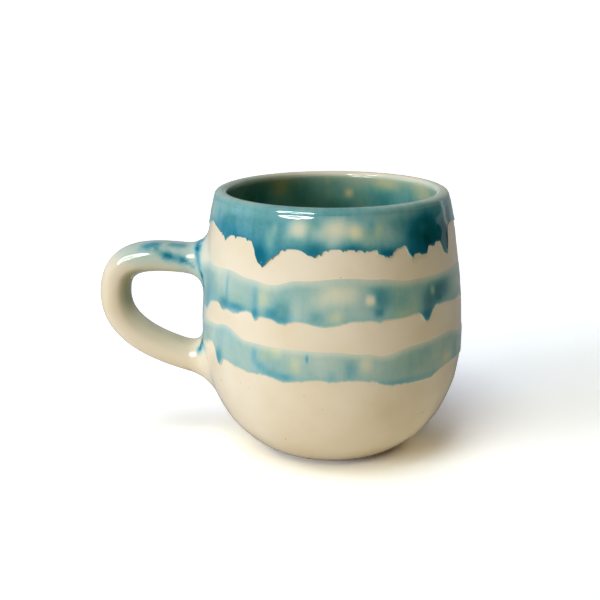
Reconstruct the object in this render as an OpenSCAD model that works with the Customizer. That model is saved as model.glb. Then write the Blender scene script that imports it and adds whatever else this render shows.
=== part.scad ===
// Hand-thrown stoneware mug: a round-bellied cup with a pulled strap handle,
// a cream base glaze, a teal liner, a dripping rim band and two glaze bands.
// Millimetres. +Z is up, the origin is the centre of the flat foot, and the
// handle points along -X.

/* [Body] */
// Widest diameter of the body over its cream glaze
body_d = 90; // [86:1:94]
// Height from the foot to the top of the lip
body_h = 90; // [86:1:96]
// Diameter of the flat foot
foot_d = 44; // [40:1:50]
// Height of the widest point
belly_z = 41.5; // [38:0.5:46]
// Diameter of the mouth, measured on the crest of the lip
mouth_d = 74.6; // [72:0.2:77]
// Thickness of the rounded lip
lip_t = 4.2; // [3.6:0.1:4.8]
// Thickness of the wall at the belly
wall_t = 5.2; // [4.4:0.1:6]
// Thickness of the floor
floor_t = 7; // [5.5:0.5:9]

/* [Handle] */
// Reach of the handle's outer face from the body's axis
handle_reach = 80; // [77:0.5:83]
// Width of the strap, across the mug
strap_w = 13.5; // [12:0.5:15]
// Thickness of the strap
strap_t = 10.2; // [9:0.2:11]
// Height of the middle of the upper joint
upper_joint_z = 65.5; // [64:0.5:67]
// Height of the middle of the lower joint
lower_joint_z = 28.5; // [27:0.5:30]
// How far the clay coil spreads round each joint
coil_reach = 4.2; // [3:0.2:5]

/* [Glaze] */
// Thickness of the base coats
coat_t = 0.4; // [0.3:0.05:0.6]
// Extra thickness of the coloured bands
band_t = 0.25; // [0.2:0.05:0.35]
// Height of the bare clay left above the foot
bare_foot_h = 1.4; // [1:0.2:2.4]
// Height of the rim band's lower edge between its drips
rim_edge_z = 78.4; // [76:0.2:81]
// Height of the middle band's lower edge between its drips
middle_edge_z = 56.4; // [54:0.2:59]
// Height of the middle band's top
middle_top_z = 68.4; // [64:0.2:71]
// Height of the lower band's lower edge between its drips
lower_edge_z = 37.2; // [35:0.2:39]
// Height of the lower band's top
lower_top_z = 46.6; // [44:0.2:50]

/* [Hidden] */

// Each drip of a band: direction round the body, half width, both in degrees, and depth in mm
rim_drips = [[-31, 6, 5.4], [-54, 4, 1.2], [-8, 6, 2.2], [24, 5, 3.2], [40, 8, 4.6], [60, 5, 5.2],
             [100, 7, 3], [128, 5, 5], [150, 9, 2.4], [178, 6, 4.4], [205, 8, 2], [232, 5, 5], [252, 5, 2]];
middle_drips = [[-53, 4, 1.2], [-33, 4, 1.4], [-20, 5, 1.8], [2, 7, 1.8], [42, 4, 3],
                [95, 6, 2], [130, 5, 3], [165, 9, 1.6], [200, 5, 2.6], [236, 6, 1.8]];
lower_drips = [[-56, 4, 1.6], [-20, 6, 1.2], [27, 7, 3], [42, 7, 3],
               [92, 7, 1.6], [120, 5, 3], [160, 9, 1.4], [195, 5, 2.6], [230, 8, 2]];

// Levels of a band's points from its edge at 0 to its top at 1
rim_levels = [0, 0.12, 0.35, 0.6, 0.82, 0.92, 1];
band_levels = [0, 0.12, 0.4, 0.7, 1];

foot_r = foot_d / 2;
belly_r = body_d / 2;
lip_r = lip_t / 2;
mouth_r = mouth_d / 2;
lip_z = body_h - lip_r;

// Direction of the handle, counted from -Y towards +X, and half the turn that its joints cover
handle_dir = -90;
joint_half_turn = 18;
// How far the lower band's edge lifts over the lower joint
lower_band_lift = 1.8;

// Bevel that keeps the foot's edge off the table: its width and height
foot_bevel = 0.5;
foot_bevel_h = 0.3;

// Number of steps in a curve of the body, round the strap, along half the handle, and round a band
body_steps = 14;
strap_sides = 20;
path_steps = 16;
band_steps = 90;

// Gap between the faceted pieces and the true curved faces that they lie on
skin_gap = 0.04;
// The handle and band pieces stand off by this much more, for the sag of their flat facets
joint_gap = 0.12;

// Squareness of the strap's section: 2 is an ellipse
strap_power = 2.3;
// Share of the strap's length, in path steps, that a joint coil covers
coil_steps = 2;
// Steps in the hollow curve of a coil
fillet_steps = 4;
// Heel of that curve: how far it spreads from the strap, and how far it stands off the wall
heel_reach = 0.6;
heel_gap = 0.8;
// How far a coil laps over the strap's clay
coil_lap = 0.3;
// Room between a joint's coil and the coat's opening for it
window_gap = 0.1;

// ---- Curves -------------------------------------------------------------

function bezier(p, t) = let (s = 1 - t) s*s*s*p[0] + 3*s*s*t*p[1] + 3*s*t*t*p[2] + t*t*t*p[3];
function curve(p, n) = [for (i = [0:n]) bezier(p, i / n)];
function tail(list) = [for (i = [1:len(list) - 1]) list[i]];
function flip(list) = [for (i = [len(list) - 1:-1:0]) list[i]];
function unit(v) = v / norm(v);

// A profile moved sideways by d, to the left of its direction of travel
function shifted(pts, d) = [for (i = [0:len(pts) - 1])
    let (t = unit(pts[min(i + 1, len(pts) - 1)] - pts[max(i - 1, 0)])) pts[i] + d * [-t[1], t[0]]];

// Arc round the crest of the lip, from angle a0 to a1, as [radius, height] points
function lip_arc(r, a0, a1, n = 8) = [for (i = [0:n]) let (a = a0 + (a1 - a0) * i / n)
    [mouth_r + r * cos(a), lip_z + r * sin(a)]];

// ---- Profiles of the body, as [radius, height] points ----------------------

outer_low = [[foot_r, 0], [foot_r + 1.5, 0.6], [belly_r, 8], [belly_r, belly_z]];
outer_high = [[belly_r, belly_z], [belly_r, belly_z + 15.5],
              [mouth_r + lip_r + 1.6, lip_z - 3.6], [mouth_r + lip_r, lip_z]];
outer_face = concat(curve(outer_low, body_steps), tail(curve(outer_high, body_steps)));

bowl_r = belly_r - wall_t;
inner_high = [[mouth_r - lip_r, lip_z], [mouth_r - lip_r + 2.6, lip_z - 12],
              [bowl_r, belly_z + 24], [bowl_r, belly_z]];
inner_low = [[bowl_r, belly_z], [bowl_r, floor_t + 13], [bowl_r * 0.72, floor_t], [0, floor_t]];
inner_face = concat(curve(inner_high, body_steps), tail(curve(inner_low, body_steps)));

clay_outer = shifted(outer_face, coat_t);
clay_inner = [for (p = shifted(inner_face, coat_t)) [p[1] < floor_t - coat_t + 0.01 ? 0 : p[0], p[1]]];

function clay_r(z) = lookup(z, [for (p = clay_outer) [p[1], p[0]]]);
function coat_r(z) = z <= lip_z ? lookup(z, [for (p = outer_face) [p[1], p[0]]])
    : mouth_r + sqrt(max(0, lip_r * lip_r - (z - lip_z) * (z - lip_z)));

// ---- Lofted solids ----------------------------------------------------------

// Solid through closed loops of points. As a "ring" the last loop joins the first. Open ends are
// closed by a "fan" from the end's middle, or by "strips" across a loop that goes out and comes back.
module loft(loops, closing) {
    n = len(loops);
    m = len(loops[0]);
    ring = closing == "ring";
    end = (n - 1) * m;
    middles = closing == "fan" ? [mean(loops[0]), mean(loops[n - 1])] : [];
    sides = [for (i = [0:ring ? n - 1 : n - 2], j = [0:m - 1])
        let (a = i * m, b = ((i + 1) % n) * m, k = (j + 1) % m)
        each [[a + j, b + j, b + k], [a + j, b + k, a + k]]];
    fans = closing != "fan" ? [] : [for (j = [0:m - 1]) let (k = (j + 1) % m)
        each [[j, k, n * m], [end + k, end + j, n * m + 1]]];
    strips = closing != "strips" ? [] : [for (j = [0:m / 2 - 2]) let (k = m - 1 - j)
        each [[j, j + 1, k - 1], [j, k - 1, k],
              [end + j, end + k - 1, end + j + 1], [end + j, end + k, end + k - 1]]];
    polyhedron(points = concat([for (l = loops) each l], middles), faces = concat(sides, fans, strips));
}

function mean(pts) = let (ones = [for (p = pts) 1]) (ones * pts) / len(pts);

// ---- Handle -----------------------------------------------------------------

// Middle line of the strap, as [x, z] points: out and over, then down and back in
far_x = -(handle_reach - strap_t / 2);
turn_z = 53;
path_top = [[1.6 - belly_r, upper_joint_z - 0.3], [-belly_r - 10, upper_joint_z],
            [far_x, upper_joint_z + 6.5], [far_x, turn_z]];
path_low = [[far_x, turn_z], [far_x, turn_z - 13], [-belly_r - 16, lower_joint_z + 4.1],
            [2.2 - belly_r, lower_joint_z]];
path = concat(curve(path_top, path_steps), tail(curve(path_low, path_steps)));
last = len(path) - 1;

// Rounded section of the strap, as [across, outward] factors from -1 to 1
function round_power(v) = sign(v) * pow(abs(v), 2 / strap_power);
section = [for (k = [0:strap_sides - 1]) let (a = 360 * k / strap_sides)
    [round_power(cos(a)), round_power(sin(a))]];

// One loop of the strap round point i of its path, grown by g
function strap_loop(i, g) = let (t = unit(path[min(i + 1, last)] - path[max(i - 1, 0)]), n = [t[1], -t[0]])
    [for (s = section) let (d = (strap_t / 2 - coat_t + g) * s[1])
        [path[i][0] + d * n[0], (strap_w / 2 - coat_t + g) * s[0], path[i][1] + d * n[1]]];

// The same loop slid along X until it lies on the clay wall, spread outward by reach
function seated_loop(i, reach, gap) = let (loop = strap_loop(i, 0), c = mean(loop))
    [for (p = loop) let (q = [p[1] - c[1], p[2] - c[2]], w = q + reach * unit(q), z = c[2] + w[1])
        [-sqrt(pow(clay_r(z) + gap, 2) - w[0] * w[0]), w[0], z]];

// Hollow curve of a joint coil from the wall (s = 0) to the strap (s = 1)
function fillet_loop(root, inner, s) = let (wall = seated_loop(root, coil_reach, joint_gap),
        heel = seated_loop(root, heel_reach, heel_gap), strap = strap_loop(inner, coil_lap), r = 1 - s)
    [for (k = [0:strap_sides - 1]) r * r * wall[k] + 2 * s * r * heel[k] + s * s * strap[k]];

// Clay surface of the whole handle: upper coil, bare strap, lower coil
clay_skin = concat(
    [for (s = [0:fillet_steps]) fillet_loop(0, coil_steps, s / fillet_steps)],
    [for (i = [coil_steps + 1:last - coil_steps - 1]) strap_loop(i, 0)],
    [for (s = [fillet_steps:-1:0]) fillet_loop(last, last - coil_steps, s / fillet_steps)]);

// A skin of loops moved outward by d; its two end loops spread along the wall instead
function grown(skin, d) = [for (i = [0:len(skin) - 1]) let (m = len(skin[i])) [for (k = [0:m - 1])
    let (along = skin[min(i + 1, len(skin) - 1)][k] - skin[max(i - 1, 0)][k],
         round = skin[i][(k + 1) % m] - skin[i][(k + m - 1) % m],
         n = unit(cross(along, round)), end = i == 0 || i == len(skin) - 1, flat = unit([0, n[1], n[2]]),
         p = skin[i][k] + d * (end ? flat : n))
    end ? [-sqrt(pow(clay_r(p[2]) + joint_gap, 2) - p[1] * p[1]), p[1], p[2]] : p]];

module joint_coil(root, inner) {
    outer = [for (s = [0:fillet_steps]) fillet_loop(root, inner, s / fillet_steps)];
    heel = seated_loop(root, skin_gap, joint_gap);
    strap = strap_loop(inner, skin_gap);
    middle = strap_loop((root + inner) / 2, skin_gap);
    around = root < inner ? [0:strap_sides - 1] : [strap_sides - 1:-1:0];
    loft([for (k = around)
        concat([for (l = outer) l[k]], [strap[k], middle[k], heel[k]])], "ring");
}

// Opening left in the coat where a joint is, as an upright outline on the -X side
module joint_window(root) {
    outline = [for (p = seated_loop(root, coil_reach + coat_t + window_gap, 0)) [-p[2], p[1]]];
    rotate([0, -90, 0])
        mirror([1, 0, 0])
            linear_extrude(height = belly_r + 2)
                polygon(outline);
}

// ---- Glaze bands ------------------------------------------------------------

// Smallest turn between two directions, in degrees
function turn(a, b) = abs(((a - b) % 360 + 540) % 360 - 180);
// How far the drips reach below a band's edge in direction a
function drip(a, drips) = max([for (d = drips) d[2] * exp(-pow(turn(a, d[0]) / d[1], 2))]);
// How far a band's edge lifts to clear the handle's joint
function lifted(a, lift) = lift * exp(-pow(turn(a, handle_dir) / joint_half_turn, 4));

// Band on the coat from its dripping lower edge up to the height top, at the given levels from 0 to 1.
// Directions are counted from -Y towards +X, and the band leaves opening degrees free at the handle.
module glaze_band(edge, top, drips, levels, opening = 0, lift = 0) {
    steps = opening > 0 ? band_steps : band_steps - 1;
    turns = [for (i = [0:steps]) handle_dir + opening / 2 + (360 - opening) * i / band_steps];
    loft([for (a = turns) let (low = edge - drip(a, drips) + lifted(a, lift),
            heights = [for (s = levels) low + (top - low) * s],
            face = [for (z = heights) [coat_r(z) + skin_gap, z]],
            crown = [for (j = [0:len(face) - 1])
                face[j] + [j == 0 || j == len(face) - 1 ? skin_gap : band_t, 0]])
        [for (p = concat(face, flip(crown))) [p[0] * sin(a), -p[0] * cos(a), p[1]]]],
        opening > 0 ? "strips" : "ring");
}

// ---- Sub-parts --------------------------------------------------------------

module thrown_body() {
    clay_lip = lip_arc(lip_r - coat_t, 0, 180);
    clay_foot = concat([[0, 0], [foot_r - foot_bevel, 0]], [for (p = clay_outer) if (p[1] > foot_bevel_h) p]);
    color("#cdbb9c")
        rotate_extrude($fn = 96)
            polygon(concat(clay_foot, tail(clay_lip), tail(clay_inner)));
}

module pulled_handle() {
    color("#cdbb9c")
        loft(concat([seated_loop(last, 0, joint_gap)],
                    [for (i = [last - 1:-1:1]) strap_loop(i, 0)],
                    [seated_loop(0, 0, joint_gap)]), "fan");
}

module upper_joint_coil() {
    color("#c4b190")
        joint_coil(0, coil_steps);
}

module lower_joint_coil() {
    color("#c4b190")
        joint_coil(last, last - coil_steps);
}

module cream_coat() {
    wall = [for (p = outer_face) if (p[1] > bare_foot_h) p];
    under = [for (p = clay_outer) if (p[1] > bare_foot_h) p];
    lip_over = lip_arc(lip_r, 0, 90);
    lip_under = lip_arc(lip_r - coat_t, 0, 90);
    color("#efe4cf")
        difference() {
            rotate_extrude($fn = 96)
                polygon(concat([[coat_r(bare_foot_h), bare_foot_h]], wall, tail(lip_over),
                    flip(tail(lip_under)), flip(under), [[clay_r(bare_foot_h), bare_foot_h]]));
            joint_window(0);
            joint_window(last);
        }
}

module handle_coat() {
    under = grown(clay_skin, skin_gap);
    over = grown(clay_skin, coat_t);
    color("#efe4cf")
        loft([for (k = [0:strap_sides - 1])
            concat([for (l = over) l[k]], flip([for (l = under) l[k]]))], "ring");
}

module liner_glaze() {
    color("#5f8f8a")
        rotate_extrude($fn = 96)
            polygon(concat(lip_arc(lip_r, 90, 180), tail(inner_face),
                flip(clay_inner), tail(flip(lip_arc(lip_r - coat_t, 90, 180)))));
}

module rim_glaze() {
    color("#2f8fa3")
        glaze_band(rim_edge_z, lip_z + lip_r * 0.9, rim_drips, rim_levels);
}

module middle_band_glaze() {
    color("#8fb9b4")
        glaze_band(middle_edge_z, middle_top_z, middle_drips, band_levels, opening = 2 * joint_half_turn);
}

module lower_band_glaze() {
    color("#9cc0bb")
        glaze_band(lower_edge_z, lower_top_z, lower_drips, band_levels, lift = lower_band_lift);
}

thrown_body();
pulled_handle();
upper_joint_coil();
lower_joint_coil();
cream_coat();
handle_coat();
liner_glaze();
rim_glaze();
middle_band_glaze();
lower_band_glaze();
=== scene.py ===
"""Hand-thrown stoneware mug: glaze skins, dripping bands, liner, specks, studio."""
import math

import bpy
import bmesh
import numpy as np
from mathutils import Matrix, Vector


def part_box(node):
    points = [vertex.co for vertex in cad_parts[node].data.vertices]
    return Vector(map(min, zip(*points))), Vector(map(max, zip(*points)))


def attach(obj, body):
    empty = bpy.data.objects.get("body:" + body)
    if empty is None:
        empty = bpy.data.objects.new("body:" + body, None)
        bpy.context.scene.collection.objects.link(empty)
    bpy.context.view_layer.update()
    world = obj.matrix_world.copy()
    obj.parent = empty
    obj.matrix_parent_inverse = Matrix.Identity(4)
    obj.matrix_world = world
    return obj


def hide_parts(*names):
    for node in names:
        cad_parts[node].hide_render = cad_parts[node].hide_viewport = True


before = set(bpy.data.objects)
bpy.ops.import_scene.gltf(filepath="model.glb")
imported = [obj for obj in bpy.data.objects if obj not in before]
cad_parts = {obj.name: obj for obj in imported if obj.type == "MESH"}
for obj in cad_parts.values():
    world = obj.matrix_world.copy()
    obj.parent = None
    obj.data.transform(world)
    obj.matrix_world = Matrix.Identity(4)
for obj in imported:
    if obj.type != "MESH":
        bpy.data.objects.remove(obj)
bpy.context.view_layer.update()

# Lengths are in millimetres, and become metres when a mesh is made. The studio's are in metres.
MM = 0.001


# ---- Sizes read from the frame --------------------------------------------------

def node_box(node):
    low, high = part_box(node)
    return np.array(low) / MM, np.array(high) / MM


coat_low, coat_high = node_box("cream_coat")
handle_low, _ = node_box("handle_coat")
_, clay_high = node_box("thrown_body")
_, strap_high = node_box("pulled_handle")

BELLY_R = coat_high[0]                    # widest radius over the coat
HEIGHT = coat_high[2]                     # crest of the lip
BARE_FOOT = coat_low[2]                   # the coat stops here above the foot
COAT = coat_high[0] - clay_high[0]        # thickness of the base coat
REACH = -handle_low[0]                    # handle's outer face
STRAP_HALF_W = strap_high[1] + COAT       # half the strap's width over its glaze

# Sizes that the boxes don't give, as in the part's source
FOOT_R = 22.0
BELLY_Z = 41.5
MOUTH_R = 37.3
LIP_R = 2.1
WALL = 5.2
FLOOR = 7.0
STRAP_HALF_T = 5.1
UPPER_ROOT_Z = 65.5
LOWER_ROOT_Z = 28.5
LIP_Z = HEIGHT - LIP_R


# ---- Shape of the thrown wall -----------------------------------------------------

def bezier(points, steps):
    p = np.array(points, float)
    t = np.linspace(0, 1, steps)[:, None]
    s = 1 - t
    return s**3 * p[0] + 3 * s * s * t * p[1] + 3 * s * t * t * p[2] + t**3 * p[3]


def joined(*curves):
    return np.vstack([curves[0]] + [c[1:] for c in curves[1:]])


CURVE_STEPS = 80
# How far the middle points of each curve stand off from its ends
FOOT_FLARE, FOOT_LIFT, BELLY_DROP = 1.5, 0.6, 33.5
BELLY_RISE, SHOULDER_OUT, SHOULDER_DROP = 15.5, 1.6, 3.6
outer_wall = joined(
    bezier([(FOOT_R, 0), (FOOT_R + FOOT_FLARE, FOOT_LIFT), (BELLY_R, BELLY_Z - BELLY_DROP),
            (BELLY_R, BELLY_Z)], CURVE_STEPS),
    bezier([(BELLY_R, BELLY_Z), (BELLY_R, BELLY_Z + BELLY_RISE),
            (MOUTH_R + LIP_R + SHOULDER_OUT, LIP_Z - SHOULDER_DROP), (MOUTH_R + LIP_R, LIP_Z)], CURVE_STEPS))
BOWL_R = BELLY_R - WALL
THROAT_OUT, THROAT_DROP, BOWL_RISE, BOWL_DROP, BOWL_FLAT = 2.6, 12, 24, 13, 0.72
inner_wall = joined(
    bezier([(MOUTH_R - LIP_R, LIP_Z), (MOUTH_R - LIP_R + THROAT_OUT, LIP_Z - THROAT_DROP),
            (BOWL_R, BELLY_Z + BOWL_RISE), (BOWL_R, BELLY_Z)], CURVE_STEPS),
    bezier([(BOWL_R, BELLY_Z), (BOWL_R, FLOOR + BOWL_DROP), (BOWL_R * BOWL_FLAT, FLOOR), (0, FLOOR)],
           CURVE_STEPS))

# Slow waves that a hand leaves in a thrown wall: turns round, turns up, phase, size
SWELLS = ((2, 0.0, 0.6, 0.10), (3, 0.7, 2.1, 0.06), (1, 10.5, 0.0, 0.035), (5, 1.7, 4.0, 0.03),
          (0, 7.3, 1.2, 0.025))


def swell(turn, z):
    """Outward wave of the wall at a direction in radians and a height."""
    up = 2 * math.pi * z / HEIGHT
    return sum(size * np.sin(k * turn + m * up + phase) for k, m, phase, size in SWELLS)


def outer_radius(z):
    lip = MOUTH_R + np.sqrt(np.maximum(0, LIP_R**2 - (z - LIP_Z) ** 2))
    return np.where(z <= LIP_Z, np.interp(z, outer_wall[:, 1], outer_wall[:, 0]), lip)


def direction(p):
    """Direction round the mug in radians, counted from -Y towards +X."""
    return np.arctan2(p[:, 0], -p[:, 1])


# ---- Shape of the handle -----------------------------------------------------------

FAR_X = -(REACH - STRAP_HALF_T)
TURN_Z = 53
STRAP_STEPS = 90
strap_path = joined(                       # both ends lie inside the wall
    bezier([(-40, UPPER_ROOT_Z - 0.4), (-55, UPPER_ROOT_Z), (FAR_X, UPPER_ROOT_Z + 6.5), (FAR_X, TURN_Z)],
           STRAP_STEPS),
    bezier([(FAR_X, TURN_Z), (FAR_X, 40), (-61, 32.6), (-39, LOWER_ROOT_Z - 0.8)], STRAP_STEPS))
strap_tangent = np.gradient(strap_path, axis=0)
strap_tangent /= np.linalg.norm(strap_tangent, axis=1)[:, None]
strap_out = np.stack([strap_tangent[:, 1], -strap_tangent[:, 0]], 1)
STRAP_POWER = 2.3                          # 2 would make the strap's section an ellipse
FILLET = 7.5
HANDLE_FROM_X = -30                        # the handle and its fillets lie beyond this


def strap_distance(p):
    """Distance from the strap's glazed face."""
    flat = p[:, [0, 2]]
    gap = ((flat[:, None, :] - strap_path[None]) ** 2).sum(2)
    near = gap.argmin(1)
    across = p[:, 1]
    outward = ((flat - strap_path[near]) * strap_out[near]).sum(1)
    along = ((flat - strap_path[near]) * strap_tangent[near]).sum(1)
    size = np.hypot(across, outward) + 1e-9
    squared = (np.abs(across / STRAP_HALF_W) ** STRAP_POWER
               + np.abs(outward / STRAP_HALF_T) ** STRAP_POWER) ** (1 / STRAP_POWER)
    side = size - size / np.maximum(squared, 1e-9)
    last = len(strap_path) - 1
    past_end = ((near == 0) | (near == last)) & (np.abs(along) > 0.3)
    return np.where(past_end, np.maximum(side, np.abs(along)), side)


def wall_distance(p):
    """Distance from the thrown wall's glazed face."""
    z = p[:, 2]
    r = np.hypot(p[:, 0], p[:, 1])
    slope = (outer_radius(z + 0.05) - outer_radius(z - 0.05)) / 0.1
    return (r - outer_radius(z) - swell(direction(p), z)) / np.sqrt(1 + slope**2)


def skin_distance(p):
    """Distance from the glazed skin, with the handle blended into the wall."""
    d = wall_distance(p)
    near = p[:, 0] < HANDLE_FROM_X
    if near.any():
        q = p[near]
        strap = strap_distance(q)
        wall = d[near]
        h = np.maximum(FILLET - np.abs(wall - strap), 0) / FILLET
        d[near] = np.minimum(wall, strap) - h * h * FILLET / 4
    return d


def onto_skin(p, rounds=4, cap=None):
    """Moves points onto the skin along its slope, and returns them with their normals."""
    step = 0.05
    for _ in range(rounds):
        slope = np.stack([(skin_distance(p + step * e) - skin_distance(p - step * e)) / (2 * step)
                          for e in np.eye(3)], 1)
        size = (slope**2).sum(1)[:, None]
        move = -skin_distance(p)[:, None] * slope / size
        if cap:
            move = np.clip(move, -cap, cap)
        p = p + move
    return p, slope / np.sqrt(size)


# ---- Runs of coloured glaze ----------------------------------------------------------
# Directions are in degrees round the mug, counted from -Y towards +X: the handle is at -90.

def smooth(low, high, v):
    t = np.clip((v - low) / (high - low), 0, 1)
    return t * t * (3 - 2 * t)


HANDLE_TURN = -90


def turned(turn, centre):
    """Turn in degrees from a centre direction, between -180 and 180."""
    return (np.degrees(turn) - centre + 180) % 360 - 180


def level(turn, stops):
    """Height in mm round the mug, eased between stops of (direction, height)."""
    stops = sorted(stops)
    at = np.array([s[0] for s in stops] + [stops[0][0] + 360.0])
    value = np.array([s[1] for s in stops] + [stops[0][1]], float)
    deg = (np.degrees(turn) - at[0]) % 360 + at[0]
    i = np.clip(np.searchsorted(at, deg, side="right") - 1, 0, len(at) - 2)
    return value[i] + (value[i + 1] - value[i]) * smooth(at[i], at[i + 1], deg)


def hanging(turn, drips):
    """Depth in mm that drips reach below an edge: (direction, half width, depth, squareness)."""
    depth = np.zeros_like(turn)
    for centre, half, deep, square in drips:
        depth += deep * np.exp(-np.abs(turned(turn, centre) / half) ** square)
    return depth


def toothed(turn, seed, count, deepest):
    """Small points that hang from an edge here and there, in mm."""
    rng = np.random.default_rng(seed)
    depth = np.zeros_like(turn)
    for centre in rng.uniform(-180, 180, count):
        half, deep = rng.uniform(0.5, 1.1), deepest * rng.uniform(0.1, 1) ** 1.6
        depth = np.maximum(depth, deep * np.clip(1 - np.abs(turned(turn, centre)) / half, 0, 1))
    return depth


PATCH_POWER = 2.4                          # over 2 makes a patch flatter and its edge quicker


def patched(turn, z, patches):
    """Sums soft patches: (direction, height, half width in degrees, half height in mm, amount)."""
    total = np.zeros_like(z)
    for centre, height, half, tall, amount in patches:
        aside, above = np.abs(turned(turn, centre) / half), np.abs((z - height) / tall)
        total += amount * np.exp(-aside ** PATCH_POWER - above ** PATCH_POWER)
    return total


RIM_EDGE = ((-90, 78), (-71, 81.4), (-58, 79), (-42, 79.4), (-20, 77.6), (0, 78), (17, 77.4), (31, 77.9),
            (50, 77), (61, 77.6), (67, 81), (80, 81.6), (92, 80), (115, 79.6), (140, 78), (165, 79.5),
            (190, 78.2), (215, 80), (245, 79))
RIM_DRIPS = ((-54.3, 2.2, 1.5, 2), (-31.4, 4.0, 6.3, 2.6), (-26, 3.4, 2.6, 2), (-8, 4.2, 2.0, 2.4),
             (20.8, 1.3, 1.4, 2), (24.2, 2.4, 2.6, 2), (27.5, 1.6, 0.8, 2), (35, 1.7, 2.6, 3),
             (38, 2.6, 2.8, 3), (43, 2.8, 3.0, 3), (49, 1.8, 1.1, 2), (59.6, 3.4, 5.2, 2.4),
             (84, 2, 1.6, 2), (98, 3, 4.4, 2.4), (124, 6, 2.6, 2.2), (133, 2.4, 4.6, 2.2), (152, 5, 2.4, 3),
             (174, 3.4, 6, 2.4), (181, 3, 2.4, 2), (204, 5, 2.2, 2), (222, 3, 5.0, 2.4), (238, 4, 2.2, 3),
             (254, 3, 3.0, 2))
MIDDLE_EDGE = ((-90, 52.5), (-70, 52.1), (-62, 56.1), (-57, 56.6), (-49, 56.2), (-37, 56.6), (-27, 55.5),
               (-15, 55.4), (0, 54.5), (9, 55.6), (30, 55.3), (37, 55.9), (47, 57.2), (54, 56.8),
               (66, 55.9), (90, 56.5), (120, 55.1), (150, 56.5), (180, 55.5), (210, 56.7), (235, 55.1),
               (255, 56))
MIDDLE_DRIPS = ((-52.3, 2.6, 1.5, 2.2), (-44.5, 4.4, 1.3, 2.6), (-32.8, 1.7, 1.7, 3),
                (-20.5, 3.4, 1.3, 2.4), (-5, 5, 0.6, 2), (18.6, 2.2, 0.4, 2), (42.4, 2.9, 3.8, 2.6),
                (46, 1.6, 0.9, 2), (78, 3, 2.2, 2), (101, 2.6, 3.8, 2.4), (127, 5, 1.2, 2),
                (143, 2.4, 2.8, 2.4), (168, 4, 1.2, 2), (187, 2.4, 3.6, 2.4), (216, 4, 1.4, 2),
                (229, 2.2, 2.8, 2.4), (249, 3, 1.4, 2))
MIDDLE_TOP = ((-90, 67), (-60, 69.2), (-50, 69.8), (-36, 68.4), (-26, 67.6), (-14, 69.6), (6, 70.6),
              (20, 69.8), (34, 68.4), (55, 68.4), (80, 68.4), (110, 69), (140, 67.4), (175, 68.6),
              (210, 67.4), (240, 69))
LOWER_EDGE = ((-90, 40.5), (-75, 39.5), (-62, 42.3), (-58.5, 41.1), (-50, 38.4), (-42, 37.4), (-36, 36.7),
              (-30, 37), (-14, 36.3), (-5, 36.9), (7, 36.8), (15, 36.2), (51, 35.1), (59, 35.9), (72, 35.5),
              (95, 36.9), (120, 35.5), (150, 36.9), (180, 35.9), (210, 37.1), (235, 36.1), (255, 38.5))
LOWER_DRIPS = ((-55.4, 2.7, 4.3, 2.8), (-20, 4.6, 0.9, 2.4), (33.5, 15, 2.1, 8), (-0.5, 2.6, 0.5, 2),
               (84, 2.8, 3.2, 2.4), (108, 6, 1.6, 4), (133, 2.4, 3.8, 2.4), (160, 8, 1.4, 4),
               (192, 2.6, 4, 2.4), (221, 6, 1.6, 3), (243, 2.4, 2.6, 2.4))
LOWER_TOP = ((-90, 46), (-60, 50), (-50, 51.3), (-37, 48.1), (-20, 47.6), (0, 47.3), (13, 46.3), (21, 45.1),
             (34, 47), (57, 47.8), (75, 45.2), (105, 47), (140, 45.4), (170, 47), (205, 45.6), (240, 47.4))

# Thickness of the runs, where 0 is bare cream and 1 a deep pool. Each band fades out below its top.
RIM_RUN = 0.83
RIM_PATCHES = ((-73, 84.5, 8, 3.2, -0.24), (-60, 86, 4, 2.0, -0.10), (-28, 80, 2.6, 3.4, -0.20),
               (-25.5, 83.5, 1.6, 2.2, -0.16), (-31.5, 75, 3.6, 3.8, 0.22), (-20, 83, 4, 3.4, -0.10),
               (-14.5, 84, 4.4, 2.8, -0.66), (2, 84, 6.4, 3.2, -0.72), (10.5, 83.4, 3.2, 2.6, -0.46),
               (14, 80.4, 5, 2.2, -0.16), (0.5, 80, 3.4, 2, -0.22), (-6, 82.5, 3, 2, -0.24),
               (14.5, 84.5, 2, 2.4, -0.14), (-8, 77.7, 4.6, 2.0, 0.18), (8, 78.3, 5, 1.0, 0.10),
               (21.5, 83, 5.0, 3.6, -0.24), (28, 80.5, 5, 3, -0.10), (24.2, 76.2, 3.4, 1.7, 0.24),
               (41, 79, 7.6, 8, 0.28), (52, 81, 8, 7, 0.30), (64, 79, 7, 8, 0.32),
               (44, 82.3, 2.6, 1.6, -0.12), (58, 84.5, 6, 2, -0.14), (78, 83, 8, 3, -0.2),
               (98, 79, 6, 6, 0.3), (112, 84, 7, 2.6, -0.45), (133, 78, 5, 5, 0.3),
               (150, 83.4, 8, 2.6, -0.3), (174, 78, 6, 6, 0.3), (192, 84, 7, 2.6, -0.5),
               (222, 79, 6, 6, 0.3), (238, 83, 8, 3, -0.3), (262, 84, 6, 3, -0.4))
MIDDLE_RUN, MIDDLE_FADE = 0.53, 4.6
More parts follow.
